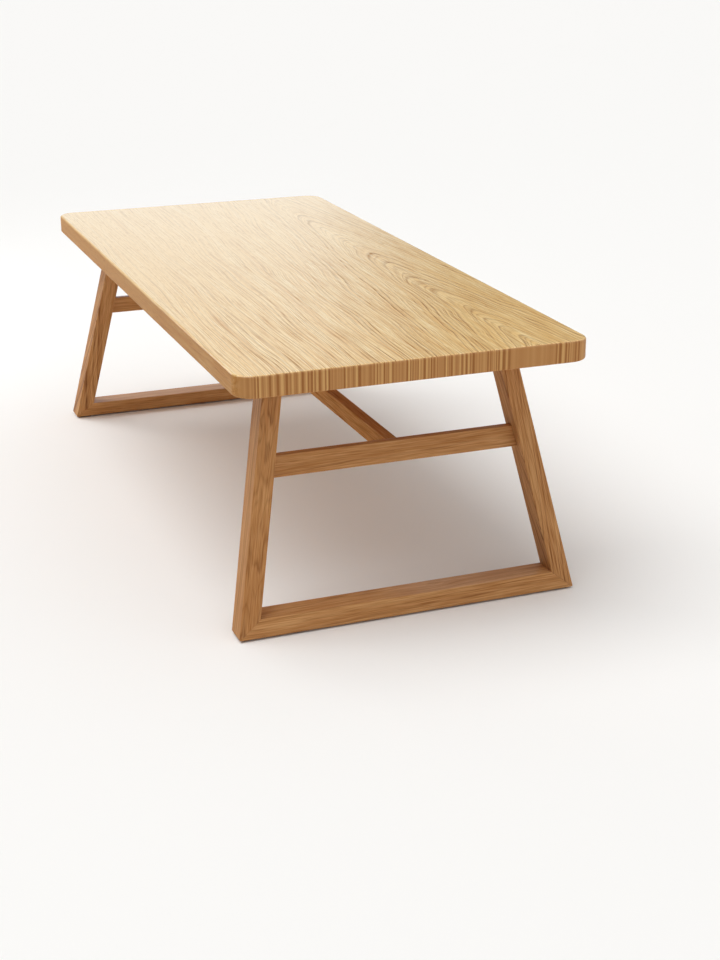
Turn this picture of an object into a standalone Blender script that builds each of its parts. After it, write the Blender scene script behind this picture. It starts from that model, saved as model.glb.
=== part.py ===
# Dining table: an edge-glued top on two leaning trapezoid end frames, joined by one stretcher.
# Metres, +Z up. The origin is on the floor below the middle of the top, +X runs along the table,
# and the front of the table is at -Y.

import math

import bmesh
import bpy
from mathutils import Vector

# Top
TABLE_HEIGHT = 0.750
TOP_LENGTH = 2.200
TOP_WIDTH = 1.000
TOP_THICKNESS = 0.060
TOP_CORNER_RADIUS = 0.055
TOP_EDGE_ROUND = 0.006
BOARD_COUNT = 7

# End frames: each inset is from the edge of the top to the outer face of the frame or leg
FRAME_INSET_TOP = 0.200
FRAME_INSET_FLOOR = 0.043
LEG_INSET_TOP = 0.135
LEG_INSET_FLOOR = 0.000
LEG_WIDTH = 0.055
LEG_DEPTH = 0.074
FRAME_ARRIS = 0.0025
FOOT_RAIL_HEIGHT = 0.0515
FOOT_CORNER_ROUND = 0.006
CROSS_RAIL_BASE = 0.410
CROSS_RAIL_HEIGHT = 0.058
CROSS_RAIL_THICKNESS = 0.024
CROSS_RAIL_SETBACK = 0.028
BEARER_HEIGHT = 0.050
BEARER_SETBACK = 0.005

# Stretcher
STRETCHER_WIDTH = 0.035
STRETCHER_HEIGHT = 0.050

# Joinery
CROSS_TENON_LENGTH = 0.034
CROSS_TENON_CHEEK = 0.006
CROSS_TENON_SHOULDER = 0.010
BEARER_TENON_LENGTH = 0.030
BEARER_TENON_CHEEK = 0.020
BEARER_TENON_SHOULDER = 0.012
STRETCHER_TENON_LENGTH = 0.008
STRETCHER_TENON_CHEEK = 0.007
STRETCHER_TENON_SHOULDER = 0.010
LOOSE_TENON_LENGTH = 0.030
LOOSE_TENON_WIDTH = 0.020
LOOSE_TENON_THICKNESS = 0.010
LOOSE_TENON_INSET = 0.020

# Pads under the foot corners
PAD_LENGTH = 0.050
PAD_DEPTH = 0.050
PAD_THICKNESS = 0.004
PAD_CORNER_RADIUS = 0.008
PAD_INSET = 0.008
PAD_SCREW_DIAMETER = 0.0035
PAD_SCREW_HEAD = 0.007
PAD_SCREW_SUNK = 0.0008
PAD_SCREW_BITE = 0.012

# Bolts that hold the top
BOLT_DIAMETER = 0.008
BOLT_HEAD_DIAMETER = 0.016
BOLT_HEAD_HEIGHT = 0.004
BOLT_KEY_FLATS = 0.005
BOLT_KEY_DEPTH = 0.0025
BOLT_CHAMFER = 0.0008
TOP_BOLT_SHORT = 0.003
TOP_BOLT_END_INSET = 0.050
TOP_BOLT_SLOT = 0.006
WASHER_DIAMETER = 0.024
WASHER_THICKNESS = 0.002
INSERT_DIAMETER = 0.0125
INSERT_LENGTH = 0.019

# Bolts that hold the stretcher
STRETCHER_BOLT_PAST = 0.004
BARREL_NUT_DIAMETER = 0.012
BARREL_NUT_LENGTH = 0.024
BARREL_NUT_SETBACK = 0.045
PLUG_THICKNESS = 0.003

# Fits and facets
GAP = 0.0003
BORE_PLAY = 0.001
CUT_MARGIN = 0.010
ROUND_SIDES = 24
CORNER_STEPS = 8
ARRIS_STEPS = 2
EDGE_STEPS = 3
SMOOTH_ANGLE = math.radians(40)
HALF_ROUND = 0.499  # share of a width that rounds it off fully and keeps a sliver of flat

# Colours are linear
TOP_WOOD = ("top_ash", (0.61, 0.42, 0.20), 0.34, 0.0)
FRAME_WOOD = ("frame_ash", (0.42, 0.21, 0.09), 0.45, 0.0)
TENON_WOOD = ("tenon_beech", (0.55, 0.34, 0.19), 0.60, 0.0)
ZINC_STEEL = ("zinc_steel", (0.60, 0.60, 0.58), 0.35, 1.0)
INSERT_BRASS = ("insert_brass", (0.70, 0.50, 0.20), 0.40, 1.0)
PAD_NYLON = ("pad_nylon", (0.06, 0.05, 0.045), 0.70, 0.0)

# Heights and slopes that follow from the sizes above
UNDERSIDE = TABLE_HEIGHT - TOP_THICKNESS
FRAME_TOP = UNDERSIDE - GAP
FOOT_BASE = PAD_THICKNESS + GAP
FOOT_TOP = FOOT_BASE + FOOT_RAIL_HEIGHT
CROSS_RAIL_TOP = CROSS_RAIL_BASE + CROSS_RAIL_HEIGHT
CROSS_RAIL_BACK = CROSS_RAIL_SETBACK + CROSS_RAIL_THICKNESS
BEARER_BASE = FRAME_TOP - BEARER_HEIGHT
STRETCHER_AXIS = (CROSS_RAIL_BASE + CROSS_RAIL_TOP) / 2
FRAME_LEAN = (FRAME_INSET_TOP - FRAME_INSET_FLOOR) / UNDERSIDE
LEG_SPLAY = (LEG_INSET_TOP - LEG_INSET_FLOOR) / UNDERSIDE
BOLT_HEAD_RADIUS = BOLT_HEAD_DIAMETER / 2
BOLT_BORE_RADIUS = BOLT_DIAMETER / 2 + BORE_PLAY


def frame_x(z):
    """X of the outer face of the end frame at +X, at height z."""
    return TOP_LENGTH / 2 - FRAME_INSET_TOP + FRAME_LEAN * (UNDERSIDE - z)


def outer_y(z):
    """Y of the outer face of the leg at +Y, at height z."""
    return TOP_WIDTH / 2 - LEG_INSET_TOP + LEG_SPLAY * (UNDERSIDE - z)


def inner_y(z):
    return outer_y(z) - LEG_WIDTH


def material(finish):
    name, colour, roughness, metallic = finish
    made = bpy.data.materials.get(name)
    if made is None:
        made = bpy.data.materials.new(name)
        made.use_nodes = True
        shader = made.node_tree.nodes["Principled BSDF"]
        shader.inputs["Base Color"].default_value = (*colour, 1.0)
        shader.inputs["Roughness"].default_value = roughness
        shader.inputs["Metallic"].default_value = metallic
        made.diffuse_color = (*colour, 1.0)
    return made


def new_object(name, bm, finish=None, parent=None):
    """Turns the mesh in bm into an object; one with no finish is a cutter."""
    bmesh.ops.recalc_face_normals(bm, faces=bm.faces)
    mesh = bpy.data.meshes.new(name)
    bm.to_mesh(mesh)
    bm.free()
    mesh.shade_smooth()
    mesh.set_sharp_from_angle(angle=SMOOTH_ANGLE)
    obj = bpy.data.objects.new(name, mesh)
    bpy.context.collection.objects.link(obj)
    obj.parent = parent
    if finish:
        mesh.materials.append(material(finish))
    else:
        obj.hide_render = True
        obj.display_type = "WIRE"
    return obj


def combine(obj, operation, other):
    boolean = obj.modifiers.new(other.name, "BOOLEAN")
    boolean.operation = operation
    boolean.object = other
    boolean.solver = "EXACT"


def cut(obj, cutter):
    combine(obj, "DIFFERENCE", cutter)


def prism(front, back, rounded=()):
    """A solid between two like outlines; the outline sides listed in rounded get round arrises."""
    bm = bmesh.new()
    loops = [[bm.verts.new(point) for point in outline] for outline in (front, back)]
    count = len(front)
    bm.faces.new(loops[0])
    bm.faces.new(reversed(loops[1]))
    for i in range(count):
        j = (i + 1) % count
        bm.faces.new((loops[0][j], loops[0][i], loops[1][i], loops[1][j]))
    arrises = [bm.edges.get((loop[i], loop[(i + 1) % count])) for loop in loops for i in rounded]
    if arrises:
        bmesh.ops.bevel(bm, geom=arrises, offset=FRAME_ARRIS, offset_type="OFFSET", segments=ARRIS_STEPS,
                        profile=0.5, affect="EDGES", clamp_overlap=True)
    return bm


def frame_prism(outline, near, far, rounded=()):
    """A frame member from its (y, z) outline, near and far below the frame's leaning outer face."""
    sides = [[Vector((frame_x(z) - depth, y, z)) for y, z in outline] for depth in (near, far)]
    return prism(sides[0], sides[1], rounded)


def block(low, high):
    """A plain box between two corners."""
    bm = bmesh.new()
    bmesh.ops.create_cube(bm, size=1.0)
    low, high = Vector(low), Vector(high)
    bmesh.ops.scale(bm, vec=high - low, verts=bm.verts)
    bmesh.ops.translate(bm, vec=(low + high) / 2, verts=bm.verts)
    return bm


def ring(radius, height, flats=False):
    """Points round +Z; with flats they follow a hexagon, and radius is half its width across flats."""
    points = []
    for i in range(ROUND_SIDES):
        angle = math.tau * i / ROUND_SIDES
        reach = radius
        if flats:
            reach = radius / math.cos((angle % (math.tau / 6)) - math.tau / 12)
        points.append(Vector((reach * math.cos(angle), reach * math.sin(angle), height)))
    return points


def turned(rings, hollow=False):
    """Skins a row of rings: capped at both ends or, when hollow, joined last to first."""
    bm = bmesh.new()
    loops = [[bm.verts.new(point) for point in points] for points in rings]
    pairs = list(zip(loops, loops[1:]))
    if hollow:
        pairs.append((loops[-1], loops[0]))
    else:
        bm.faces.new(loops[0])
        bm.faces.new(loops[-1])
    for low, high in pairs:
        for i in range(ROUND_SIDES):
            j = (i + 1) % ROUND_SIDES
            bm.faces.new((low[i], low[j], high[j], high[i]))
    return bm


def rod(radius, base, top):
    return turned([ring(radius, base), ring(radius, top)])


def rounded_block(length, width, thickness, radius, steps):
    """A plate of the given size about the origin, with its four upright edges rounded."""
    bm = block((-length / 2, -width / 2, -thickness / 2), (length / 2, width / 2, thickness / 2))
    upright = [e for e in bm.edges if abs(e.verts[0].co.z - e.verts[1].co.z) > thickness / 2]
    bmesh.ops.bevel(bm, geom=upright, offset=radius, segments=steps, profile=0.5,
                    affect="EDGES", clamp_overlap=True)
    return bm


def bolt(length):
    """A flat-headed key bolt standing on +Z, with its head below the origin."""
    head = -BOLT_HEAD_HEIGHT
    key = BOLT_KEY_FLATS / 2
    shank = BOLT_DIAMETER / 2
    return turned([
        ring(key, head + BOLT_KEY_DEPTH, flats=True),
        ring(key, head, flats=True),
        ring(BOLT_HEAD_RADIUS - BOLT_CHAMFER, head),
        ring(BOLT_HEAD_RADIUS, head + BOLT_CHAMFER),
        ring(BOLT_HEAD_RADIUS, 0.0),
        ring(shank, 0.0),
        ring(shank, length - BOLT_CHAMFER),
        ring(shank - BOLT_CHAMFER, length),
    ])


def tube(inner, outer, base, top):
    return turned([ring(inner, base), ring(outer, base), ring(outer, top), ring(inner, top)], hollow=True)


def top_bolt_places():
    """(x, y) of the three bolts of the +X bearer."""
    x = frame_x((BEARER_BASE + FRAME_TOP) / 2) - LEG_DEPTH / 2
    end = inner_y(BEARER_BASE) - TOP_BOLT_END_INSET
    return [(x, -end), (x, 0.0), (x, end)]


def foot_corner():
    """(y, z) points of the mitred foot corner at +Y: on the leg, on the mitre, on the floor side, inside."""
    corner = Vector((outer_y(FOOT_BASE), FOOT_BASE))
    up = Vector((-LEG_SPLAY, 1.0)).normalized()
    inward = Vector((-1.0, 0.0))
    half = up.angle(inward) / 2
    tangent = FOOT_CORNER_ROUND / math.tan(half)
    bulge = FOOT_CORNER_ROUND / math.sin(half) - FOOT_CORNER_ROUND
    mitre = corner + (up + inward).normalized() * bulge
    inside = Vector((inner_y(FOOT_TOP), FOOT_TOP))
    return corner + up * tangent, mitre, corner + inward * tangent, inside


def make_top(ends):
    """The slab is drawn whole, then sawn into boards, and bored for the threaded inserts."""
    half_length, half_width = TOP_LENGTH / 2, TOP_WIDTH / 2
    slab = rounded_block(TOP_LENGTH, TOP_WIDTH, TOP_THICKNESS, TOP_CORNER_RADIUS, CORNER_STEPS)
    rims = [e for e in slab.edges if abs(e.verts[0].co.z - e.verts[1].co.z) < TOP_THICKNESS / 2]
    bmesh.ops.bevel(slab, geom=rims, offset=TOP_EDGE_ROUND, segments=EDGE_STEPS, profile=0.5,
                    affect="EDGES", clamp_overlap=True)
    bmesh.ops.translate(slab, vec=(0, 0, TABLE_HEIGHT - TOP_THICKNESS / 2), verts=slab.verts)
    board_width = TOP_WIDTH / BOARD_COUNT
    bore_radius = INSERT_DIAMETER / 2 + GAP
    for i in range(BOARD_COUNT):
        board = new_object(f"top_board_{i + 1}", slab.copy(), TOP_WOOD)
        low = i * board_width - half_width
        high = low + board_width
        start = low - CUT_MARGIN if i == 0 else low + GAP / 2
        stop = high + CUT_MARGIN if i == BOARD_COUNT - 1 else high - GAP / 2
        strip = block((-half_length - CUT_MARGIN, start, UNDERSIDE - CUT_MARGIN),
                      (half_length + CUT_MARGIN, stop, TABLE_HEIGHT + CUT_MARGIN))
        combine(board, "INTERSECT", new_object(f"cut_board_{i + 1}", strip))
        for end in ends:
            for j, (x, y) in enumerate(top_bolt_places()):
                place = end.matrix_basis @ Vector((x, y, 0.0))
                if low - bore_radius < place.y < high + bore_radius:
                    bore = rod(bore_radius, UNDERSIDE - CUT_MARGIN, UNDERSIDE + INSERT_LENGTH + GAP)
                    cutter = new_object(f"cut_insert_{end.name}_{i + 1}_{j + 1}", bore)
                    cutter.location = (place.x, place.y, 0.0)
                    cut(board, cutter)
    slab.free()


def make_leg(name, side, end, cutters):
    """side is +1 for the leg at +Y of the end's own axes and -1 for the other."""
    on_leg, mitre, _, inside = foot_corner()
    seam = inside.y + GAP
    outline = [
        (inner_y(FRAME_TOP), FRAME_TOP),
        (outer_y(FRAME_TOP), FRAME_TOP),
        (on_leg.x, on_leg.y),
        (mitre.x, mitre.y + GAP),
        (inner_y(seam), seam),
    ]
    outline = [(side * y, z) for y, z in outline]
    leg = new_object(name, frame_prism(outline, 0.0, LEG_DEPTH, rounded=(1, 2, 4)), FRAME_WOOD, end)
    for cutter in cutters:
        cut(leg, cutter)


def make_foot_rail(name, end):
    _, mitre, on_floor, inside = foot_corner()
    half = [(inside.x, inside.y), (mitre.x, mitre.y), (on_floor.x, on_floor.y)]
    outline = half + [(-y, z) for y, z in reversed(half)]
    return new_object(name, frame_prism(outline, 0.0, LEG_DEPTH, rounded=(1, 2, 3, 5)), FRAME_WOOD, end)


def bar_between_legs(base, top, near, far, rounded=()):
    """A rail whose ends are cut to the splay of the legs' inner faces."""
    low, high = inner_y(base) - GAP, inner_y(top) - GAP
    return frame_prism([(-low, base), (low, base), (high, top), (-high, top)], near, far, rounded)


def bar_across(reach, base, top, near, far):
    """A bar across the frame with square ends, for tenons and mortises."""
    return frame_prism([(-reach, base), (reach, base), (reach, top), (-reach, top)], near, far)


def make_rail(name, end, base, top, near, far, tenon_length, cheek, shoulder, rounded):
    """A rail with a tenon at each end; returns the rail and the cutter for its mortises."""
    rail = new_object(name, bar_between_legs(base, top, near, far, rounded), FRAME_WOOD, end)
    reach = inner_y(top) + tenon_length
    size = (base + shoulder, top - shoulder, near + cheek, far - cheek)
    combine(rail, "UNION", new_object(f"add_tenons_{name}", bar_across(reach, *size), parent=end))
    room = (size[0] - GAP, size[1] + GAP, size[2] - GAP, size[3] + GAP)
    mortise = new_object(f"cut_mortises_{name}", bar_across(reach + GAP, *room), parent=end)
    return rail, mortise


def loose_tenon(spare):
    """A tenon standing on end, its width along Y; spare is added all round to make its slot."""
    length, width = LOOSE_TENON_LENGTH + 2 * spare, LOOSE_TENON_WIDTH + 2 * spare
    thickness = LOOSE_TENON_THICKNESS + 2 * spare
    return rounded_block(thickness, width, length, thickness * HALF_ROUND, ARRIS_STEPS * 2)


def place_loose_tenon(obj, side):
    """Sets a loose tenon square across the mitre, at the middle of the leg's depth."""
    _, mitre, _, inside = foot_corner()
    outward = (mitre - inside).normalized()
    middle = inside + outward * (LOOSE_TENON_INSET + LOOSE_TENON_WIDTH / 2)
    obj.location = (frame_x(middle.y) - LEG_DEPTH / 2, side * middle.x, middle.y)
    obj.rotation_euler.x = side * math.atan2(outward.y, outward.x)


def make_pad(name, side, end, foot_rail):
    """A pad under one foot corner, with its screw up into the foot rail."""
    on_edge = outer_y(FOOT_BASE)
    place = (frame_x(FOOT_BASE) - LEG_DEPTH / 2, side * (on_edge - PAD_INSET - PAD_LENGTH / 2), 0.0)
    plate = rounded_block(PAD_DEPTH, PAD_LENGTH, PAD_THICKNESS, PAD_CORNER_RADIUS, ARRIS_STEPS * 2)
    bmesh.ops.translate(plate, vec=(0, 0, PAD_THICKNESS / 2), verts=plate.verts)
    pad = new_object(f"{name}_foot_pad", plate, PAD_NYLON, end)
    screw = new_object(f"{name}_pad_screw", pad_screw(0.0), ZINC_STEEL, end)
    hole = new_object(f"cut_{name}_pad_screw", pad_screw(GAP), parent=end)
    for obj in (pad, screw, hole):
        obj.location = place
    cut(pad, hole)
    cut(foot_rail, hole)


def pad_screw(spare):
    """A countersunk screw on +Z; with spare it is the hole for that screw."""
    shank = PAD_SCREW_DIAMETER / 2 + spare
    head = PAD_SCREW_HEAD / 2 + spare
    start = -CUT_MARGIN if spare else PAD_SCREW_SUNK
    neck = PAD_SCREW_SUNK + (PAD_SCREW_HEAD - PAD_SCREW_DIAMETER) / 2
    tip = FOOT_BASE + PAD_SCREW_BITE + spare
    rings = [ring(head, start)]
    if spare:
        rings.append(ring(head, PAD_SCREW_SUNK))
    rings += [ring(shank, neck), ring(shank, tip - PAD_SCREW_DIAMETER), ring(shank / 2, tip)]
    return turned(rings)


def make_top_fixing(name, x, y, end, bearer, slotted):
    """A bolt with its washer under the bearer and its threaded insert in the top."""
    seat = BEARER_BASE - GAP
    washer = new_object(f"{name}_washer", tube(BOLT_DIAMETER / 2 + GAP, WASHER_DIAMETER / 2,
                                               seat - WASHER_THICKNESS, seat), ZINC_STEEL, end)
    under = seat - WASHER_THICKNESS - GAP
    tip = UNDERSIDE + INSERT_LENGTH - TOP_BOLT_SHORT
    screw = new_object(f"{name}_bolt", bolt(tip - under), ZINC_STEEL, end)
    insert = new_object(f"{name}_insert", tube(BOLT_DIAMETER / 2 + GAP, INSERT_DIAMETER / 2,
                                               UNDERSIDE, UNDERSIDE + INSERT_LENGTH), INSERT_BRASS, end)
    washer.location = insert.location = (x, y, 0.0)
    screw.location = (x, y, under)
    if slotted:
        width = BOLT_BORE_RADIUS * 2
        height = BEARER_HEIGHT + 2 * CUT_MARGIN
        hole = rounded_block(width, width + TOP_BOLT_SLOT, height, width * HALF_ROUND, ROUND_SIDES // 4)
        bmesh.ops.translate(hole, vec=(0, 0, BEARER_BASE + BEARER_HEIGHT / 2), verts=hole.verts)
    else:
        hole = rod(BOLT_BORE_RADIUS, BEARER_BASE - CUT_MARGIN, FRAME_TOP + CUT_MARGIN)
    cutter = new_object(f"cut_{name}_bolt", hole, parent=end)
    cutter.location = (x, y, 0.0)
    cut(bearer, cutter)


def along_x(bm):
    """Turns a piece made on +Z so that it points along -X, at the stretcher's height."""
    for vert in bm.verts:
        x, y, z = vert.co
        vert.co = Vector((-z, y, x + STRETCHER_AXIS))
    return bm


def make_stretcher_fixing(name, end, cross_rail, stretcher):
    """A bolt through the cross rail into a barrel nut in the stretcher, and the plug over its head."""
    face = frame_x(STRETCHER_AXIS) - CROSS_RAIL_SETBACK
    slope = FRAME_LEAN * (BOLT_HEAD_RADIUS + GAP)
    seat = face - slope - PLUG_THICKNESS - GAP - BOLT_HEAD_HEIGHT
    nut_x = frame_x(STRETCHER_AXIS) - CROSS_RAIL_BACK - BARREL_NUT_SETBACK
    nut_radius = BARREL_NUT_DIAMETER / 2
    length = seat - nut_x + nut_radius + STRETCHER_BOLT_PAST
    screw = new_object(f"{name}_bolt", along_x(bolt(length)), ZINC_STEEL, end)
    screw.location.x = seat
    bore = along_x(turned([
        ring(BOLT_HEAD_RADIUS + GAP, -BOLT_HEAD_HEIGHT - PLUG_THICKNESS - 2 * slope - CUT_MARGIN),
        ring(BOLT_HEAD_RADIUS + GAP, GAP),
        ring(BOLT_BORE_RADIUS, GAP),
        ring(BOLT_BORE_RADIUS, length + BORE_PLAY),
    ]))
    cutter = new_object(f"cut_{name}_bolt", bore, parent=end)
    cutter.location.x = seat
    cut(cross_rail, cutter)
    cut(stretcher, cutter)

    plug_mesh = along_x(rod(BOLT_HEAD_RADIUS, 0.0, PLUG_THICKNESS))
    plug_seat = seat + BOLT_HEAD_HEIGHT + GAP
    for vert in plug_mesh.verts:
        outside = vert.co.x > -PLUG_THICKNESS / 2
        vert.co.x = frame_x(vert.co.z) - CROSS_RAIL_SETBACK if outside else plug_seat
    new_object(f"{name}_plug", plug_mesh, FRAME_WOOD, end)

    nut_top = STRETCHER_AXIS + BARREL_NUT_LENGTH / 2
    nut = new_object(f"{name}_nut", rod(nut_radius, nut_top - BARREL_NUT_LENGTH, nut_top), ZINC_STEEL, end)
    thread = along_x(rod(BOLT_DIAMETER / 2 + GAP, -BARREL_NUT_DIAMETER, BARREL_NUT_DIAMETER))
    thread_cutter = new_object(f"cut_{name}_thread", thread, parent=end)
    well = rod(nut_radius + GAP, STRETCHER_AXIS - STRETCHER_HEIGHT / 2 - CUT_MARGIN, nut_top + GAP)
    well_cutter = new_object(f"cut_{name}_nut", well, parent=end)
    nut.location.x = thread_cutter.location.x = well_cutter.location.x = nut_x
    cut(nut, thread_cutter)
    cut(stretcher, well_cutter)


def stretcher_prism(reach_past, base, top, half_width, rounded=()):
    """A bar along the table whose ends follow the lean of the cross rails' inner faces."""
    ends = [(frame_x(z) - CROSS_RAIL_BACK + reach_past, z) for z in (base, top)]
    (low, base), (high, top) = ends
    outline = [(-low, base), (low, base), (high, top), (-high, top)]
    front = [Vector((x, -half_width, z)) for x, z in outline]
    back = [Vector((x, half_width, z)) for x, z in outline]
    return prism(front, back, rounded)


def make_stretcher():
    """The stretcher with its stub tenons; returns it and the cutter for their mortises."""
    base = STRETCHER_AXIS - STRETCHER_HEIGHT / 2
    top = STRETCHER_AXIS + STRETCHER_HEIGHT / 2
    half_width = STRETCHER_WIDTH / 2
    body = stretcher_prism(-GAP, base, top, half_width, rounded=(0, 2))
    stretcher = new_object("stretcher", body, FRAME_WOOD)
    low, high = base + STRETCHER_TENON_SHOULDER, top - STRETCHER_TENON_SHOULDER
    cheek = half_width - STRETCHER_TENON_CHEEK
    tenons = stretcher_prism(STRETCHER_TENON_LENGTH, low, high, cheek)
    combine(stretcher, "UNION", new_object("add_tenons_stretcher", tenons))
    mortises = stretcher_prism(STRETCHER_TENON_LENGTH + GAP, low - GAP, high + GAP, cheek + GAP)
    return stretcher, new_object("cut_mortises_stretcher", mortises)


def make_end_frame(end, end_name, side_names, stretcher, stretcher_mortise):
    """One end frame, modelled at +X of its end empty, which turns it to its place."""
    cross_rail, cross_mortise = make_rail(
        f"{end_name}_cross_rail", end, CROSS_RAIL_BASE, CROSS_RAIL_TOP, CROSS_RAIL_SETBACK, CROSS_RAIL_BACK,
        CROSS_TENON_LENGTH, CROSS_TENON_CHEEK, CROSS_TENON_SHOULDER, rounded=(0, 2))
    cut(cross_rail, stretcher_mortise)
    make_stretcher_fixing(f"{end_name}_stretcher", end, cross_rail, stretcher)

    bearer, bearer_mortise = make_rail(
        f"{end_name}_top_bearer", end, BEARER_BASE, FRAME_TOP, BEARER_SETBACK, LEG_DEPTH - BEARER_SETBACK,
        BEARER_TENON_LENGTH, BEARER_TENON_CHEEK, BEARER_TENON_SHOULDER, rounded=(0,))
    for i, (x, y) in enumerate(top_bolt_places()):
        make_top_fixing(f"{end_name}_top_{i + 1}", x, y, end, bearer, slotted=y != 0.0)

    foot_rail = make_foot_rail(f"{end_name}_foot_rail", end)
    for side, side_name in side_names.items():
        name = f"{side_name}_{end_name}"
        tenon = new_object(f"{name}_foot_tenon", loose_tenon(0.0), TENON_WOOD, end)
        slot = new_object(f"cut_{name}_foot_tenon", loose_tenon(GAP), parent=end)
        for obj in (tenon, slot):
            place_loose_tenon(obj, side)
        cut(foot_rail, slot)
        make_leg(f"{name}_leg", side, end, (cross_mortise, bearer_mortise, slot))
        make_pad(name, side, end, foot_rail)


def main():
    for obj in list(bpy.data.objects):
        bpy.data.objects.remove(obj, do_unlink=True)
    ends = []
    for name, turn in (("right", 0.0), ("left", math.pi)):
        end = bpy.data.objects.new(f"{name}_end", None)
        end.rotation_euler.z = turn
        bpy.context.collection.objects.link(end)
        ends.append((end, name))
    bpy.context.view_layer.update()

    make_top([end for end, _ in ends])
    stretcher, stretcher_mortise = make_stretcher()
    for end, name in ends:
        front, back = (-1, 1) if name == "right" else (1, -1)
        make_end_frame(end, name, {front: "front", back: "back"}, stretcher, stretcher_mortise)


main()
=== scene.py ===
import math

import bmesh
import bpy
from mathutils import Matrix, Vector


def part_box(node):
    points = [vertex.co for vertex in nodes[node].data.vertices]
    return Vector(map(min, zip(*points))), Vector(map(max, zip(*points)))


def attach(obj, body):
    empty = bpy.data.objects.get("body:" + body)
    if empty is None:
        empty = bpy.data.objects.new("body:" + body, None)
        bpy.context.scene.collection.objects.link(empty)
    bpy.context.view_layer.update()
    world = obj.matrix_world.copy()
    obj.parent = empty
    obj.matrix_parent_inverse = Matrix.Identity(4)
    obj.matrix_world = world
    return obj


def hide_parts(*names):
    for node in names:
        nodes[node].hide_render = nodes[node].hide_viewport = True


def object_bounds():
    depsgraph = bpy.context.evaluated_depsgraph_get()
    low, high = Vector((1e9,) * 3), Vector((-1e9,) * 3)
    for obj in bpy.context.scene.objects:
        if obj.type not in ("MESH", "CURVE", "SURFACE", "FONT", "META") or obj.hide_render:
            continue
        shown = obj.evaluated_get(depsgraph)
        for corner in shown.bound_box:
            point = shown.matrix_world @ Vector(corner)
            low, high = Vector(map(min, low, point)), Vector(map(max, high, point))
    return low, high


# Dining table: one thick top on two leaning end frames, dressed over the CAD frame
# Metres, +X is the near end
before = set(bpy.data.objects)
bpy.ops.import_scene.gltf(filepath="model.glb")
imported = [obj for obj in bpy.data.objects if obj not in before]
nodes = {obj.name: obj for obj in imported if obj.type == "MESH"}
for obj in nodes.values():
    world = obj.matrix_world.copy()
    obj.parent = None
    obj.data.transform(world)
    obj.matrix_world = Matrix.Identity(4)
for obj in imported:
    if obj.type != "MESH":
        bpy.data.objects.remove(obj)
cadLow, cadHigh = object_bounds()
print("frame loaded,", len(nodes), "nodes")

# edges sharper than this are corners, and points closer than this are in the same place
cornerAngle = math.radians(35)
near = 0.001

# how room is cut for tenons and fixings
cutting = {"play": 0.0003, "weld": 0.00001, "overrun": 0.01, "sides": 48}


def linear(hexColour):
    # screen colour to linear light
    channels = [int(hexColour[i:i + 2], 16) / 255 for i in (1, 3, 5)]
    return [c / 12.92 if c <= 0.04045 else ((c + 0.055) / 1.055) ** 2.4 for c in channels] + [1.0]


def addNode(tree, kind, inputs, **settings):
    # a shader node with its settings; an input is a value or the output socket that feeds it
    node = tree.nodes.new(kind)
    for name, value in settings.items():
        setattr(node, name, value)
    for name, value in inputs.items():
        if isinstance(value, bpy.types.NodeSocket):
            tree.links.new(value, node.inputs[name])
        else:
            node.inputs[name].default_value = value
    return node


def startMaterial(name):
    # a fresh material, its tree and the inputs of its shader
    material = bpy.data.materials.new(name)
    material.use_nodes = True
    tree = material.node_tree
    return material, tree, tree.nodes["Principled BSDF"].inputs


def maths(tree, operation, *values):
    return addNode(tree, "ShaderNodeMath", dict(enumerate(values)), operation=operation).outputs[0]


def remap(tree, value, source, target=(0.0, 1.0)):
    # carries a value from one range to another and holds it there
    return addNode(tree, "ShaderNodeMapRange", {
        "Value": value, "From Min": source[0], "From Max": source[1],
        "To Min": target[0], "To Max": target[1]}).outputs[0]


def mixValues(tree, share, first, second):
    return addNode(tree, "ShaderNodeMix", {0: share, 2: first, 3: second}).outputs[0]


def mixColours(tree, share, base, over, kind="MIX"):
    return addNode(tree, "ShaderNodeMix", {0: share, 6: base, 7: over},
                   data_type="RGBA", blend_type=kind).outputs[2]


def dotWith(tree, vector, aim):
    return addNode(tree, "ShaderNodeVectorMath", {0: vector, 1: aim},
                   operation="DOT_PRODUCT").outputs["Value"]


def noiseAlong(tree, value, scale, detail, roughness=0.5):
    # noise that changes along one value only
    return addNode(tree, "ShaderNodeTexNoise", {
        "W": value, "Scale": scale, "Detail": detail, "Roughness": roughness},
        noise_dimensions="1D").outputs[0]


def stretchedNoise(tree, place, sizes, detail, roughness=0.5):
    # noise with its own size along each axis
    stretched = addNode(tree, "ShaderNodeMapping", {"Vector": place, "Scale": [1 / size for size in sizes]})
    return addNode(tree, "ShaderNodeTexNoise", {
        "Vector": stretched.outputs[0], "Scale": 1, "Detail": detail, "Roughness": roughness}).outputs[0]


def colourRamp(tree, value, stops):
    # colours along a value, as pairs of place and linear colour
    node = addNode(tree, "ShaderNodeValToRGB", {"Fac": value})
    elements = node.color_ramp.elements
    while len(elements) < len(stops):
        elements.new(0.5)
    for stop, (at, colour) in zip(elements, stops):
        stop.position, stop.color = at, colour
    return node.outputs[0]


def linearStops(stops):
    return [(at, linear(shade)) for at, shade in stops]


def addBlock(name, low, high):
    # a cube between two corners, left in edit mode
    bpy.ops.object.select_all(action="DESELECT")
    low, high = Vector(low), Vector(high)
    bpy.ops.mesh.primitive_cube_add(size=1, location=(low + high) / 2, scale=high - low)
    piece = bpy.context.object
    piece.name = piece.data.name = name
    bpy.ops.object.transform_apply(location=True, rotation=True, scale=True)
    bpy.ops.object.mode_set(mode="EDIT")
    return piece


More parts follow.
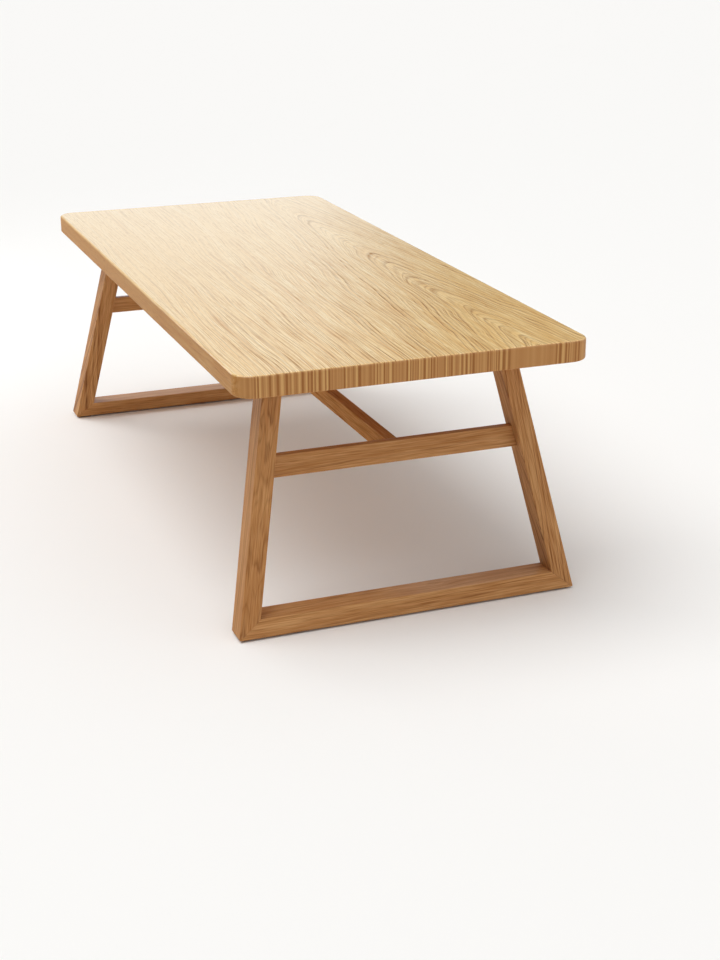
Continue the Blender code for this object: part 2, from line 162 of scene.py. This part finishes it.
def pickEdges(piece, test):
    # only real corners are offered, not the steps of a rounding
    bpy.ops.mesh.select_mode(type="EDGE")
    bpy.ops.mesh.select_all(action="DESELECT")
    mesh = bmesh.from_edit_mesh(piece.data)
    for edge in mesh.edges:
        if edge.calc_face_angle(0) > cornerAngle and test(*(vert.co for vert in edge.verts)):
            edge.select_set(True)
    bmesh.update_edit_mesh(piece.data)


def pickTopFace(piece, height):
    # the upper face of a fresh block
    bpy.ops.mesh.select_mode(type="FACE")
    bpy.ops.mesh.select_all(action="DESELECT")
    mesh = bmesh.from_edit_mesh(piece.data)
    for face in mesh.faces:
        if face.calc_center_median().z > height - near:
            face.select_set(True)
    bmesh.update_edit_mesh(piece.data)


def cutOut(piece, tool):
    bpy.ops.object.select_all(action="DESELECT")
    bpy.context.view_layer.objects.active = piece
    bpy.ops.object.modifier_add(type="BOOLEAN")
    cut = piece.modifiers[-1]
    cut.operation, cut.solver, cut.object = "DIFFERENCE", "EXACT", tool
    bpy.ops.object.modifier_apply(modifier=cut.name)
    bpy.data.objects.remove(tool)


def makeRoom(piece, names):
    # cuts the shapes of fixings and tenons, with some play, out of a solid piece
    for name in names:
        bpy.ops.object.select_all(action="DESELECT")
        tool = nodes[name].copy()
        tool.data = nodes[name].data.copy()
        bpy.context.collection.objects.link(tool)
        tool.select_set(True)
        bpy.context.view_layer.objects.active = tool
        bpy.ops.object.mode_set(mode="EDIT")
        bpy.ops.mesh.select_all(action="SELECT")
        bpy.ops.mesh.remove_doubles(threshold=cutting["weld"])
        bpy.ops.mesh.normals_make_consistent(inside=False)
        bpy.ops.transform.shrink_fatten(value=cutting["play"], use_even_offset=True)
        bpy.ops.object.mode_set(mode="OBJECT")
        cutOut(piece, tool)


def drillFromBelow(piece, fixing, face):
    # a round blind hole for a fixing, turned half a step so that its edges miss those of crossing holes
    low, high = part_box(fixing)
    middle = (low + high) / 2
    base, top = face - cutting["overrun"], high.z + cutting["play"]
    bpy.ops.object.select_all(action="DESELECT")
    bpy.ops.mesh.primitive_cylinder_add(
        vertices=cutting["sides"], radius=(high.x - low.x) / 2 + cutting["play"], depth=top - base,
        location=(middle.x, middle.y, (top + base) / 2), rotation=(0, 0, math.pi / cutting["sides"]))
    cutOut(piece, bpy.context.object)


def dressPiece(piece, material, slot, *stoodFor):
    # smooth roundings, flat faces kept flat, its material, a place under the root body, and the frame parts
    # it stands for hidden
    bpy.ops.object.select_all(action="DESELECT")
    piece.select_set(True)
    bpy.context.view_layer.objects.active = piece
    bpy.ops.object.shade_smooth_by_angle(angle=cornerAngle)
    bpy.ops.object.modifier_add(type="WEIGHTED_NORMAL")
    piece.modifiers[-1].keep_sharp = True
    bpy.ops.object.modifier_apply(modifier=piece.modifiers[-1].name)
    piece.data.materials.clear()
    piece.data.materials.append(material)
    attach(piece, "root")
    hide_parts(*stoodFor)


def copyFlipped(piece, name, flip):
    # a second piece with its own mesh, mirrored through the middle of the table
    bpy.ops.object.select_all(action="DESELECT")
    twin = piece.copy()
    twin.data = piece.data.copy()
    twin.name = twin.data.name = name
    bpy.context.collection.objects.link(twin)
    twin.select_set(True)
    bpy.context.view_layer.objects.active = twin
    twin.scale = flip
    bpy.ops.object.transform_apply(location=False, rotation=False, scale=True)
    if math.prod(flip) < 0:
        # one mirroring turns every face inwards
        bpy.ops.object.mode_set(mode="EDIT")
        bpy.ops.mesh.select_all(action="SELECT")
        bpy.ops.mesh.flip_normals()
        bpy.ops.object.mode_set(mode="OBJECT")
    return twin


def grainTurn(along, across):
    # the turn that lays a pattern's x along the fibres and its y across the face that is seen
    along = Vector(along).normalized()
    deep = along.cross(Vector(across)).normalized()
    return Matrix((along, deep.cross(along), deep)).transposed().to_euler()


# where a noise, or the way a face looks, starts and stops to count; the edge limits are where the painted
# shade on faces that don't look up is full and where it ends
woodLimits = {
    "runOut": (-0.25, 0.15), "clear": (-0.39, 0.64), "fade": (0.35, 0.60), "broken": (0.38, 0.62),
    "flank": (0.05, 0.40), "pore": (0.62, 0.74), "edge": (0.20, 0.85), "plain": (0.56, 0.64),
    "end": (0.30, 0.75), "polish": (0.30, 0.60),
}
# ring lines: how often and how far their spacing wanders, their least strength,
# and how many widths they fade over
lineHabit = {"wanderRate": 0.3, "wander": 1.3, "least": 0.2, "fadeWidths": 3}
lacquer = {"grainDepth": 0.0003, "coatRoughness": 0.16, "roughness": 0.5}


def lacqueredAsh(name, look):
    # ash under satin lacquer: honey ground, thin ochre ring lines with a pale edge, short dark pores
    material, tree, shader = startMaterial(name)
    place = addNode(tree, "ShaderNodeTexCoord", {}).outputs
    normal = addNode(tree, "ShaderNodeSeparateXYZ", {"Vector": place["Normal"]}).outputs
    grain = addNode(tree, "ShaderNodeMapping", {
        "Vector": place["Object"], "Location": look["centre"], "Rotation": look["turn"]},
        vector_type="TEXTURE").outputs[0]
    axes = addNode(tree, "ShaderNodeSeparateXYZ", {"Vector": grain}).outputs
    fresh = addNode(tree, "ShaderNodeVectorMath", {0: grain, 1: [look["seed"]] * 3},
                    operation="ADD").outputs[0]

    # noises stretched along the fibres; pores are 0.2 mm wide in ash and are drawn wider so that they show
    noise = {}
    for use, detail in (("drift", 1), ("waver", 1), ("streak", 1), ("fade", 2), ("pore", 0)):
        noise[use] = stretchedNoise(tree, fresh, look[use + "Size"], detail, roughness=0.45)

    # rings around a pith beside or below the surface; the fibres wander and run out of the piece a little
    side = maths(tree, "MULTIPLY_ADD", noise["drift"], look["drift"], axes["Y"])
    side = maths(tree, "SUBTRACT", side, look["pith"][0])
    deep = maths(tree, "MULTIPLY_ADD", axes["Z"], look["roundness"], look["pith"][1])
    radius = addNode(tree, "ShaderNodeCombineXYZ", {"X": side, "Y": deep}).outputs[0]
    radius = addNode(tree, "ShaderNodeVectorMath", {0: radius}, operation="LENGTH").outputs["Value"]
    runOut = remap(tree, axes["Y"], woodLimits["runOut"], look["runOut"])
    ahead = maths(tree, "MULTIPLY_ADD", noise["waver"], look["waver"], axes["X"])
    upright = maths(tree, "MULTIPLY_ADD", ahead, runOut, radius)
    upright = maths(tree, "ADD", upright, look["seed"])
    ring = maths(tree, "MULTIPLY_ADD", axes["Z"], look["tilt"], upright)

    # ground tone: broad bands of the rings and long fibre streaks
    band = noiseAlong(tree, ring, 1 / look["bandWidth"], detail=2, roughness=0.6)
    tone = mixValues(tree, look["streakShare"], band, noise["streak"])
    if "clearAim" in look:
        # the figure is clear towards one corner and calm towards the other
        clear = remap(tree, dotWith(tree, grain, look["clearAim"]), woodLimits["clear"], look["clear"])
        tone = mixValues(tree, clear, look["calmTone"], tone)
    paint = colourRamp(tree, tone, linearStops(look["ground"]))

    # ring lines: thin dark strokes with a pale edge, unevenly spaced, each of its own strength
    fading = remap(tree, noise["fade"], woodLimits["fade"], (look["faded"], 1.0))
    if "clearAim" in look:
        fading = maths(tree, "MULTIPLY", fading, clear)
    broken = remap(tree, noise["streak"], woodLimits["broken"], (1.0, look["broken"]))
    fading = maths(tree, "MULTIPLY", fading, broken)
    if "edgeLines" in look:
        # lines that lie along a long edge would make it look uneven, so they are faint there
        flank = maths(tree, "ABSOLUTE", normal["Y"])
        calm = remap(tree, flank, woodLimits["flank"], (1.0, look["edgeLines"]))
        fading = maths(tree, "MULTIPLY", fading, calm)
    dark, untouched = linear(look["lineTint"]), (1, 1, 1, 1)
    for spacing, width, strength in look["lines"]:
        uneven = noiseAlong(tree, ring, lineHabit["wanderRate"] / spacing, detail=0)
        count = maths(tree, "MULTIPLY", ring, 1 / spacing)
        count = maths(tree, "MULTIPLY_ADD", uneven, lineHabit["wander"], count)
        reach = width / spacing
        stroke = colourRamp(tree, maths(tree, "FRACT", count), [
            (0.0, dark), (reach, look["lineEdge"]), (lineHabit["fadeWidths"] * reach, untouched),
            (1 - reach, untouched), (1.0, dark)])
        number = maths(tree, "ROUND", count)
        own = addNode(tree, "ShaderNodeTexWhiteNoise", {"W": number}, noise_dimensions="1D").outputs["Value"]
        own = remap(tree, own, (0.0, 1.0), (lineHabit["least"] * strength, strength))
        paint = mixColours(tree, maths(tree, "MULTIPLY", fading, own), paint, stroke, "MULTIPLY")
    pored = remap(tree, noise["pore"], woodLimits["pore"], (0.0, look["poreDepth"]))
    paint = mixColours(tree, pored, paint, linear(look["poreTint"]), "MULTIPLY")
    height = paint

    if "sideShadeTint" in look:
        # the sides and underside, which don't look up, are painted browner as painted shade; cut ends show
        # the rings as crisp upright stripes
        shadedSides = remap(tree, normal["Z"], woodLimits["edge"], (1.0, 0.0))
        paint = mixColours(tree, shadedSides, paint, linear(look["sideShadeTint"]), "MULTIPLY")
        endStops = linearStops(look["endGround"])
        stripes = colourRamp(tree, noiseAlong(tree, upright, 1 / look["endStripe"], detail=1.5), endStops)
        plain = noiseAlong(tree, upright, 1 / look["endPlain"], detail=0)
        plain = remap(tree, plain, woodLimits["plain"], (0.0, look["endCalm"]))
        stripes = mixColours(tree, plain, stripes, endStops[1][1])
        ended = remap(tree, maths(tree, "ABSOLUTE", normal["X"]), woodLimits["end"])
        paint = mixColours(tree, ended, paint, stripes)
    tree.links.new(paint, shader["Base Color"])

    # lines and pores lie a hair deep; faces that look up, and their arrises, are rubbed to a polish
    bump = addNode(tree, "ShaderNodeBump", {
        "Height": height, "Strength": look["bump"], "Distance": lacquer["grainDepth"]})
    tree.links.new(bump.outputs[0], shader["Normal"])
    polish = remap(tree, normal["Z"], woodLimits["polish"], (0.0, look["polish"]))
    grey = addNode(tree, "ShaderNodeRGBToBW", {0: height}).outputs[0]
    polish = maths(tree, "MULTIPLY", polish, remap(tree, grey, look["opened"]))
    tree.links.new(polish, shader["Coat Weight"])
    shader["Coat Roughness"].default_value = lacquer["coatRoughness"]
    shader["Roughness"].default_value = lacquer["roughness"]
    shader["Specular IOR Level"].default_value = look["shine"]
    return material


# The top, one slab to the eye
topLook = {
    "centre": (0, 0, 0), "turn": (0, 0, 0), "seed": 3.7, "roundness": 0.0, "tilt": 1.0,
    "pith": (0.36, 0.05), "runOut": (-0.02, -0.12), "drift": 0.07, "driftSize": (0.60, 0.15, 3.0),
    "waver": 0.11, "waverSize": (0.16, 0.05, 3.0),
    "bandWidth": 0.040, "streakSize": (0.20, 0.0032, 0.012), "streakShare": 0.70,
    "ground": [(0.35, "#e8b86e"), (0.50, "#f5cd87"), (0.65, "#fde0a6")],
    "clearAim": (0.63, 0.77, 0), "clear": (0.35, 1.25), "calmTone": 0.5,
    "lines": [(0.013, 0.0032, 1.0), (0.0058, 0.0015, 1.0)],
    "fadeSize": (0.20, 0.03, 0.3), "faded": 0.45, "broken": 0.45,
    "lineTint": "#886226", "lineEdge": (1.06, 1.08, 1.12, 1),
    "poreSize": (0.040, 0.0018, 0.0018), "poreDepth": 0.45, "poreTint": "#c9aa78",
    # painted shade: the sides and underside of the top are tinted browner than its upper face
    "sideShadeTint": "#c5aa90", "edgeLines": 0.25, "endStripe": 0.009, "endPlain": 0.05, "endCalm": 0.7,
    "endGround": [(0.36, "#9c6637"), (0.50, "#b88450"), (0.66, "#cfa166")],
    "bump": 0.10, "polish": 1.0, "opened": (0.25, 0.45), "shine": 0.12,
}
topShape = {"thickness": 0.060, "cornerRadius": 0.055, "cornerSteps": 20, "edgeRound": 0.0065, "edgeSteps": 6}
under = cadHigh.z - topShape["thickness"]
tableTop = addBlock("tableTop", (cadLow.x, cadLow.y, under), (cadHigh.x, cadHigh.y, cadHigh.z))
pickEdges(tableTop, lambda a, b: abs(a.z - b.z) > near)
bpy.ops.mesh.bevel(offset=topShape["cornerRadius"], segments=topShape["cornerSteps"], affect="EDGES")
pickEdges(tableTop, lambda a, b: abs(a.z - b.z) < near)
bpy.ops.mesh.bevel(offset=topShape["edgeRound"], segments=topShape["edgeSteps"], affect="EDGES")
bpy.ops.object.mode_set(mode="OBJECT")
for end in ("right", "left"):
    for i in (1, 2, 3):
        drillFromBelow(tableTop, f"{end}_top_{i}_insert", under)
dressPiece(tableTop, lacqueredAsh("lacquered ash, top", topLook), "top_wood",
           *[name for name in nodes if name.startswith("top_board")])
print("top slab:", len(tableTop.data.polygons), "faces")

# The end frames lean along the table, and their legs splay across it
frameShape = {
    "insetTop": 0.200, "insetFloor": 0.043, "legInsetTop": 0.135, "legInsetFloor": 0.0,
    "legWidth": 0.055, "legDepth": 0.074, "arris": 0.0025, "arrisSteps": 4, "heel": 0.006, "heelSteps": 8,
    "jointEase": 0.0004, "gap": 0.0003, "mitreReach": 0.0008,
}
lean = (frameShape["insetTop"] - frameShape["insetFloor"]) / under
splay = (frameShape["legInsetTop"] - frameShape["legInsetFloor"]) / under
gap = frameShape["gap"]
frameTop = under - gap
footBase, footTop = (end.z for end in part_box("right_foot_rail"))


def frameX(z):
    return cadHigh.x - frameShape["insetTop"] + lean * (under - z)


def outerY(z):
    return cadHigh.y - frameShape["legInsetTop"] + splay * (under - z)


def innerY(z):
    return outerY(z) - frameShape["legWidth"]


mitreAt = Vector((0, outerY(footBase), footBase))
mitreNormal = Vector((0, footTop - footBase, outerY(footBase) - innerY(footTop))).normalized()


def leanBlock(name, low, high, shift, stretch=(1, 1, 1)):
    # a block whose top face slides and stretches, so its sides follow the frame
    piece = addBlock(name, low, high)
    pickTopFace(piece, high[2])
    middle = ((low[0] + high[0]) / 2, (low[1] + high[1]) / 2, high[2])
    bpy.ops.transform.resize(value=stretch, center_override=middle)
    bpy.ops.transform.translate(value=shift)
    return piece


def roundHeel(piece, y):
    # the outer bottom edges at the floor
    pickEdges(piece, lambda a, b: max(a.z, b.z) < footBase + near and min(y(a), y(b)) > legY - near)
    bpy.ops.mesh.bevel(offset=frameShape["heel"], segments=frameShape["heelSteps"], affect="EDGES")


def easeEdges(piece, joint):
    # soft arrises along the piece, and a hair of ease where it meets a neighbour
    pickEdges(piece, lambda a, b: not joint(a, b))
    bpy.ops.mesh.bevel(offset=frameShape["arris"], segments=frameShape["arrisSteps"], affect="EDGES")
    pickEdges(piece, joint)
    bpy.ops.mesh.bevel(offset=frameShape["jointEase"], segments=1, affect="EDGES")
    bpy.ops.object.mode_set(mode="OBJECT")


def onMitre(point):
    away = Vector((0, abs(point.y), point.z)) - mitreAt
    return abs(away.dot(mitreNormal)) < frameShape["mitreReach"]


legX, legY = frameX(footBase), outerY(footBase)
leg = leanBlock("leg", (legX - frameShape["legDepth"], legY - frameShape["legWidth"], footBase),
                (legX, legY, frameTop), (frameX(frameTop) - legX, outerY(frameTop) - legY, 0))
roundHeel(leg, lambda point: point.y)
bpy.ops.mesh.select_all(action="SELECT")
bpy.ops.mesh.bisect(plane_co=mitreAt + mitreNormal * gap, plane_no=mitreNormal,
                    use_fill=True, clear_inner=True)
easeEdges(leg, lambda a, b: (onMitre(a) and onMitre(b)) or min(a.z, b.z) > frameTop - near)

footRail = leanBlock("footRail", (legX - frameShape["legDepth"], -legY, footBase), (legX, legY, footTop),
                     (frameX(footTop) - legX, 0, 0), (1, outerY(footTop) / legY, 1))
roundHeel(footRail, lambda point: abs(point.y))
for side in (1, -1):
    bpy.ops.mesh.select_all(action="SELECT")
    bpy.ops.mesh.bisect(plane_co=(0, side * mitreAt.y, mitreAt.z),
                        plane_no=(0, side * mitreNormal.y, mitreNormal.z), use_fill=True, clear_outer=True)
easeEdges(footRail, lambda a, b: onMitre(a) and onMitre(b))

railShape = {"base": 0.410, "height": 0.058, "thickness": 0.024, "setback": 0.028}
railBase = railShape["base"]
railTop = railBase + railShape["height"]
railX, railY = frameX(railBase) - railShape["setback"], innerY(railBase) - gap
crossRail = leanBlock("crossRail", (railX - railShape["thickness"], -railY, railBase),
                      (railX, railY, railTop), (frameX(railTop) - frameX(railBase), 0, 0),
                      (1, (innerY(railTop) - gap) / railY, 1))
easeEdges(crossRail, lambda a, b: a.y * b.y > 0)

bearerShape = {"height": 0.050, "setback": 0.005}
bearerBase = frameTop - bearerShape["height"]
bearerX, bearerY = frameX(bearerBase) - bearerShape["setback"], innerY(bearerBase) - gap
bearer = leanBlock("bearer",
                   (bearerX + 2 * bearerShape["setback"] - frameShape["legDepth"], -bearerY, bearerBase),
                   (bearerX, bearerY, frameTop), (frameX(frameTop) - frameX(bearerBase), 0, 0),
                   (1, (innerY(frameTop) - gap) / bearerY, 1))
easeEdges(bearer, lambda a, b: a.y * b.y > 0)

stretcherShape = {"width": 0.035, "height": 0.050}
back = railShape["setback"] + railShape["thickness"] + gap
beamBase = railBase + (railShape["height"] - stretcherShape["height"]) / 2
beamTop = beamBase + stretcherShape["height"]
beamX = frameX(beamBase) - back
stretcher = leanBlock("stretcher_wood", (-beamX, -stretcherShape["width"] / 2, beamBase),
                      (beamX, stretcherShape["width"] / 2, beamTop), (0, 0, 0),
                      ((frameX(beamTop) - back) / beamX, 1, 1))
easeEdges(stretcher, lambda a, b: a.x * b.x > 0)
print("end frame and stretcher modelled")

# Frame wood is the same ash a shade browner; each member has its own log
frameLook = {
    "centre": (0, 0, 0), "turn": (0, 0, 0), "seed": 11.0, "roundness": 1.0, "tilt": 0.0,
    "pith": (0.10, 0.05), "runOut": (0.03, 0.03), "drift": 0.020, "driftSize": (0.25, 0.08, 0.08),
    "waver": 0.20, "waverSize": (0.12, 0.03, 0.03),
    "bandWidth": 0.025, "streakSize": (0.09, 0.0028, 0.0028), "streakShare": 0.60,
    "ground": [(0.34, "#ac7441"), (0.50, "#be8854"), (0.66, "#cf9d67")],
    "lines": [(0.012, 0.0026, 0.50), (0.005, 0.0011, 0.40)],
    "fadeSize": (0.15, 0.02, 0.02), "faded": 0.45, "broken": 0.6,
    "lineTint": "#936c47", "lineEdge": (1.06, 1.07, 1.09, 1),
    "poreSize": (0.040, 0.0018, 0.0018), "poreDepth": 0.30, "poreTint": "#cfb294",
    "bump": 0.10, "polish": 0.6, "opened": (0.15, 0.30), "shine": 0.12,
}
plainSawn = {"pith": (0.005, 0.085), "runOut": (0.05, 0.05), "waver": 0.32, "waverSize": (0.10, 0.020, 0.020),
             "lines": [(0.012, 0.0026, 0.76), (0.005, 0.0011, 0.60)]}
riftSawn = {"runOut": (0.13, 0.13), "waver": 0.023, "lines": [(0.012, 0.0026, 1.0), (0.005, 0.0011, 0.85)]}
logSeed = {"first": 20.0, "step": 3.1, "stretcher": 91.0}
figureHeight = 0.35
legMiddle = Vector((frameX(figureHeight) - frameShape["legDepth"] / 2,
                    outerY(figureHeight) - frameShape["legWidth"] / 2, figureHeight))

# one leg gets its tenon room, and all four are mirrored from it
cutLeg = copyFlipped(leg, "cutLeg", (-1, 1, 1))
makeRoom(cutLeg, ["back_left_foot_tenon"])
railKinds = ((footRail, "foot_rail", (footBase + footTop) / 2), (crossRail, "cross_rail", beamBase),
             (bearer, "top_bearer", bearerBase))
seed = logSeed["first"]
for end, endSign in (("right", 1), ("left", -1)):
    for side, sideSign in (("front", -1), ("back", 1)):
        name = f"{side}_{end}_leg"
        piece = copyFlipped(cutLeg, name + "_wood", (-endSign, sideSign, 1))
        seed += logSeed["step"]
        look = dict(frameLook, seed=seed, centre=(legMiddle.x * endSign, legMiddle.y * sideSign, legMiddle.z),
                    turn=grainTurn((lean * endSign, splay * sideSign, -1), (0, -sideSign, 0)))
        look.update(plainSawn if endSign * sideSign < 0 else riftSawn)
        dressPiece(piece, lacqueredAsh(f"lacquered ash, {side} {end} leg", look), "frame_wood", name)
    rooms = {
        "foot_rail": [f"{side}_{end}_{inner}" for side in ("front", "back")
                      for inner in ("foot_tenon", "pad_screw")],
        "cross_rail": [f"{end}_stretcher_plug", f"{end}_stretcher_bolt"],
        "top_bearer": [f"{end}_top_{i}_bolt" for i in (1, 2, 3)],
    }
    for model, kind, height in railKinds:
        name = f"{end}_{kind}"
        piece = copyFlipped(model, name + "_wood", (endSign, 1, 1))
        makeRoom(piece, rooms[kind])
        seed += logSeed["step"]
        look = dict(frameLook, seed=seed, centre=(frameX(height) * endSign, 0, height),
                    turn=grainTurn((0, 1, 0), (-lean * endSign, 0, 1)))
        wood = lacqueredAsh(f"lacquered ash, {end} {kind.replace('_', ' ')}", look)
        dressPiece(piece, wood, "frame_wood", name)
        if kind == "cross_rail":
            # plugs are cut from the rail's own wood
            nodes[f"{end}_stretcher_plug"].material_slots[0].material = wood
for model in (leg, cutLeg, footRail, crossRail, bearer):
    bpy.data.objects.remove(model)
makeRoom(stretcher, ["right_stretcher_bolt", "left_stretcher_bolt"])
for end in ("right", "left"):
    drillFromBelow(stretcher, f"{end}_stretcher_nut", beamBase)
# the sides of the stretcher are left matt
beamLook = dict(frameLook, centre=(0, 0, beamBase), seed=logSeed["stretcher"], shine=0.0)
dressPiece(stretcher, lacqueredAsh("lacquered ash, stretcher", beamLook), "frame_wood", "stretcher")
print("frame members placed")


def turnedMetal(name, look):
    # turned or pressed fixings: fine tool marks around the axis and cloudy handling marks in the gloss
    material, tree, shader = startMaterial(name)
    place = addNode(tree, "ShaderNodeTexCoord", {}).outputs["Object"]
    marks = stretchedNoise(tree, place, look["markSize"], detail=1)
    cloud = stretchedNoise(tree, place, [look["cloudSize"]] * 3, detail=3)
    tone = mixValues(tree, look["cloudShare"], marks, cloud)
    bump = addNode(tree, "ShaderNodeBump", {
        "Height": marks, "Strength": look["bump"], "Distance": look["markDepth"]})
    tree.links.new(colourRamp(tree, tone, linearStops(look["colours"])), shader["Base Color"])
    tree.links.new(remap(tree, cloud, look["cloudLimits"], look["roughness"]), shader["Roughness"])
    tree.links.new(bump.outputs[0], shader["Normal"])
    shader["Metallic"].default_value = 1.0
    return material


# Fixings, tenons and pads keep their shapes; tool marks of 0.1 mm are drawn at 0.4 mm so that they show
steelLook = {
    "colours": [(0.35, "#a9adb1"), (0.65, "#d3d5d6")], "roughness": (0.26, 0.44),
    "markSize": (0.006, 0.006, 0.0004), "markDepth": 0.0001, "bump": 0.15,
    "cloudSize": 0.004, "cloudShare": 0.5, "cloudLimits": (0.3, 0.7),
}
brassLook = dict(steelLook, colours=[(0.35, "#a98443"), (0.65, "#d8b871")],
                 roughness=(0.24, 0.40), cloudSize=0.003)
zincSteel = turnedMetal("zinc plated steel", steelLook)
insertBrass = turnedMetal("turned brass", brassLook)

# bare beech: pinkish ground with short dark ray flecks 2 mm long
beechLook = {"colours": [(0.32, "#a97a55"), (0.50, "#cfa278")],
             "fleckSize": (0.0008, 0.002, 0.002), "roughness": 0.7}
tenonBeech, tree, shader = startMaterial("bare beech")
place = addNode(tree, "ShaderNodeTexCoord", {}).outputs["Object"]
fleck = stretchedNoise(tree, place, beechLook["fleckSize"], detail=2)
tree.links.new(colourRamp(tree, fleck, linearStops(beechLook["colours"])), shader["Base Color"])
shader["Roughness"].default_value = beechLook["roughness"]

# moulded nylon: near black brown, spark-eroded grain of about 0.3 mm, scuffed paler in places
nylonLook = {
    "colours": [(0.45, "#241f1c"), (0.72, "#3d3632")], "roughness": (0.5, 0.75), "scuffLimits": (0.3, 0.7),
    "grainSize": 0.0003, "grainDepth": 0.0001, "bump": 0.2, "scuffSize": 0.012,
}
padNylon, tree, shader = startMaterial("moulded nylon")
place = addNode(tree, "ShaderNodeTexCoord", {}).outputs["Object"]
grit = stretchedNoise(tree, place, [nylonLook["grainSize"]] * 3, detail=1)
scuff = stretchedNoise(tree, place, [nylonLook["scuffSize"]] * 3, detail=4)
bump = addNode(tree, "ShaderNodeBump", {
    "Height": grit, "Strength": nylonLook["bump"], "Distance": nylonLook["grainDepth"]})
tree.links.new(colourRamp(tree, scuff, linearStops(nylonLook["colours"])), shader["Base Color"])
tree.links.new(remap(tree, scuff, nylonLook["scuffLimits"], nylonLook["roughness"]), shader["Roughness"])
tree.links.new(bump.outputs[0], shader["Normal"])

finishes = {"bolt": zincSteel, "washer": zincSteel, "nut": zincSteel, "screw": zincSteel,
            "insert": insertBrass, "tenon": tenonBeech, "pad": padNylon}
for name, node in nodes.items():
    kind = name.split("_")[-1]
    if kind in finishes:
        node.material_slots[0].material = finishes[kind]
print("fixings, tenons and pads finished")

# Pale studio floor, matt so that it mirrors nothing
floorLook = {"size": 120, "colour": "#f4f3f1", "roughness": 0.9}
bpy.ops.object.select_all(action="DESELECT")
bpy.ops.mesh.primitive_plane_add(size=floorLook["size"], location=(0, 0, 0))
floor = bpy.context.object
floor.name = "floor"
floorPaint, tree, shader = startMaterial("matt white floor")
shader["Base Color"].default_value = linear(floorLook["colour"])
shader["Roughness"].default_value = floorLook["roughness"]
shader["Specular IOR Level"].default_value = 0.0
floor.data.materials.append(floorPaint)

# Soft studio light; aims are degrees around and up, limits are where each effect starts and is full
light = {
    "ahead": 0.79, "behind": 0.58, "aheadLimits": (-0.4, 0.5), "side": 0.10, "sideLimits": (-0.6, 0.0),
    "panel": 0.88, "panelColour": "#c8e9ff", "panelAim": (164, -8), "panelLimits": (0.899, 0.951),
    "screen": 0.10, "screenAim": (141, 12), "screenLimits": (0.945, 0.970), "backdrop": "#fbfaf8",
    "sun": 2.00, "sunPlace": (0, 0, 5), "sunTurn": (24, -8, 0), "sunSpread": 55,
    "boxPlace": (-3.0, -2.4, 1.4), "boxAim": (-1.0, -0.4, 0.5), "boxPower": 19, "boxSize": 1.5,
}


def direction(turn, rise):
    turn, rise = math.radians(turn), math.radians(rise)
    return math.cos(turn) * math.cos(rise), math.sin(turn) * math.cos(rise), math.sin(rise)


# even light with a cool bright panel and a dark screen beside it, which show in the polish of the top
world = bpy.data.worlds.new("studio")
bpy.context.scene.world = world
world.use_nodes = True
sky = world.node_tree
facing = addNode(sky, "ShaderNodeTexCoord", {}).outputs["Generated"]
axes = addNode(sky, "ShaderNodeSeparateXYZ", {"Vector": facing}).outputs
even = remap(sky, axes["X"], light["aheadLimits"], (light["behind"], light["ahead"]))
panel = dotWith(sky, facing, direction(*light["panelAim"]))
panel = remap(sky, panel, light["panelLimits"], (0.0, light["panel"]))
screen = dotWith(sky, facing, direction(*light["screenAim"]))
screen = remap(sky, screen, light["screenLimits"], (1.0, light["screen"]))
dim = remap(sky, axes["Y"], light["sideLimits"], (light["side"], 1.0))
even = maths(sky, "MULTIPLY", even, dim)
even = maths(sky, "MULTIPLY", even, screen)
panel = maths(sky, "MULTIPLY", panel, screen)
evenGlow = addNode(sky, "ShaderNodeBackground", {"Color": (1, 1, 1, 1), "Strength": even})
panelGlow = addNode(sky, "ShaderNodeBackground", {"Color": linear(light["panelColour"]), "Strength": panel})
glow = addNode(sky, "ShaderNodeAddShader", {0: evenGlow.outputs[0], 1: panelGlow.outputs[0]})

# looked at straight there is only a plain pale backdrop
backdrop = addNode(sky, "ShaderNodeBackground", {"Color": linear(light["backdrop"])})
straight = addNode(sky, "ShaderNodeLightPath", {}).outputs["Is Camera Ray"]
sight = addNode(sky, "ShaderNodeMixShader", {0: straight, 1: glow.outputs[0], 2: backdrop.outputs[0]})
sky.links.new(sight.outputs[0], sky.nodes["World Output"].inputs["Surface"])

bpy.ops.object.light_add(type="SUN", location=light["sunPlace"],
                         rotation=[math.radians(turn) for turn in light["sunTurn"]])
sun = bpy.context.object
sun.name = "overhead"
sun.data.energy = light["sun"]
sun.data.angle = math.radians(light["sunSpread"])

boxAim = Vector(light["boxAim"]) - Vector(light["boxPlace"])
bpy.ops.object.light_add(type="AREA", location=light["boxPlace"],
                         rotation=boxAim.to_track_quat("-Z", "Y").to_euler())
softBox = bpy.context.object
softBox.name = "softBox"
softBox.data.energy, softBox.data.size = light["boxPower"], light["boxSize"]

# The photo's view, from a fit to the corners of the table
view = {"place": (4.88095, -1.63860, 1.95579), "aim": (-0.87318, 0.33852, -0.35066), "lens": 62.15}
bpy.ops.object.camera_add(location=view["place"],
                          rotation=Vector(view["aim"]).to_track_quat("-Z", "Y").to_euler())
camera = bpy.context.object
camera.data.lens = view["lens"]
bpy.context.scene.camera = camera
bpy.context.scene.view_settings.view_transform = "Standard"
print("stage, lights and camera set")
